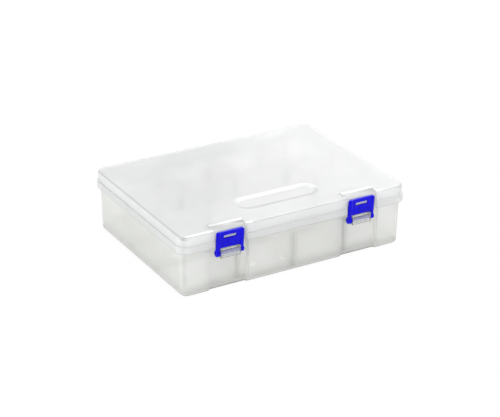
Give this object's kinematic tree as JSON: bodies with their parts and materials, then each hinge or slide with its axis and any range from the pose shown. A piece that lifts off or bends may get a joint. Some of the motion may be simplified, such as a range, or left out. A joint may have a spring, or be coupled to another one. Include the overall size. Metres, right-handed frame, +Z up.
{
  "type": "compartment storage box",
  "caption": "Shallow rectangular storage box in frosted plastic with partitioned rows, lift-out dividers, a lid hinged at the back and finger latches at the front.",
  "frame": {"origin": "middle of the tray's underside, on the surface that it stands on", "axes": "+X along the front towards the right-hand latch, -Y out of the latched front, +Y towards the hinges, +Z up through the lid"},
  "size_m": [0.235, 0.175, 0.061],
  "materials": {
    "frosted_tray": "frosted translucent polypropylene, satin",
    "frosted_lid": "frosted translucent polypropylene, fine satin",
    "frosted_divider": "frosted translucent polypropylene, satin",
    "blue_latch": "opaque blue polypropylene, soft gloss"
  },
  "bodies": {
    "tray": {"base_tray": "frosted_tray", "divider_row_1_slot_1": "frosted_divider", "divider_row_1_slot_2": "frosted_divider", "divider_row_1_slot_3": "frosted_divider", "divider_row_2_slot_1": "frosted_divider", "divider_row_2_slot_2": "frosted_divider", "divider_row_2_slot_3": "frosted_divider", "divider_row_3_slot_1": "frosted_divider", "divider_row_3_slot_2": "frosted_divider", "divider_row_3_slot_3": "frosted_divider"},
    "lid": {"lid": "frosted_lid", "lid_hood_left": "frosted_lid", "lid_hood_right": "frosted_lid"},
    "latch_left": {"latch_left": "blue_latch"},
    "latch_right": {"latch_right": "blue_latch"}
  },
  "joints": [
    {"name": "lid_hinge", "type": "hinge", "parent": "tray", "child": "lid", "pos_m": [0, 0.0847, 0.0391], "axis": [-1, 0, 0], "range_deg": [0, 175]},
    {"name": "latch_left_pivot", "type": "hinge", "parent": "tray", "child": "latch_left", "pos_m": [-0.0681, -0.0832, 0.0362], "axis": [1, 0, 0], "range_deg": [-4.12, 176]},
    {"name": "latch_right_pivot", "type": "hinge", "parent": "tray", "child": "latch_right", "pos_m": [0.0681, -0.0832, 0.0362], "axis": [1, 0, 0], "range_deg": [-4.12, 176]}
  ]
}
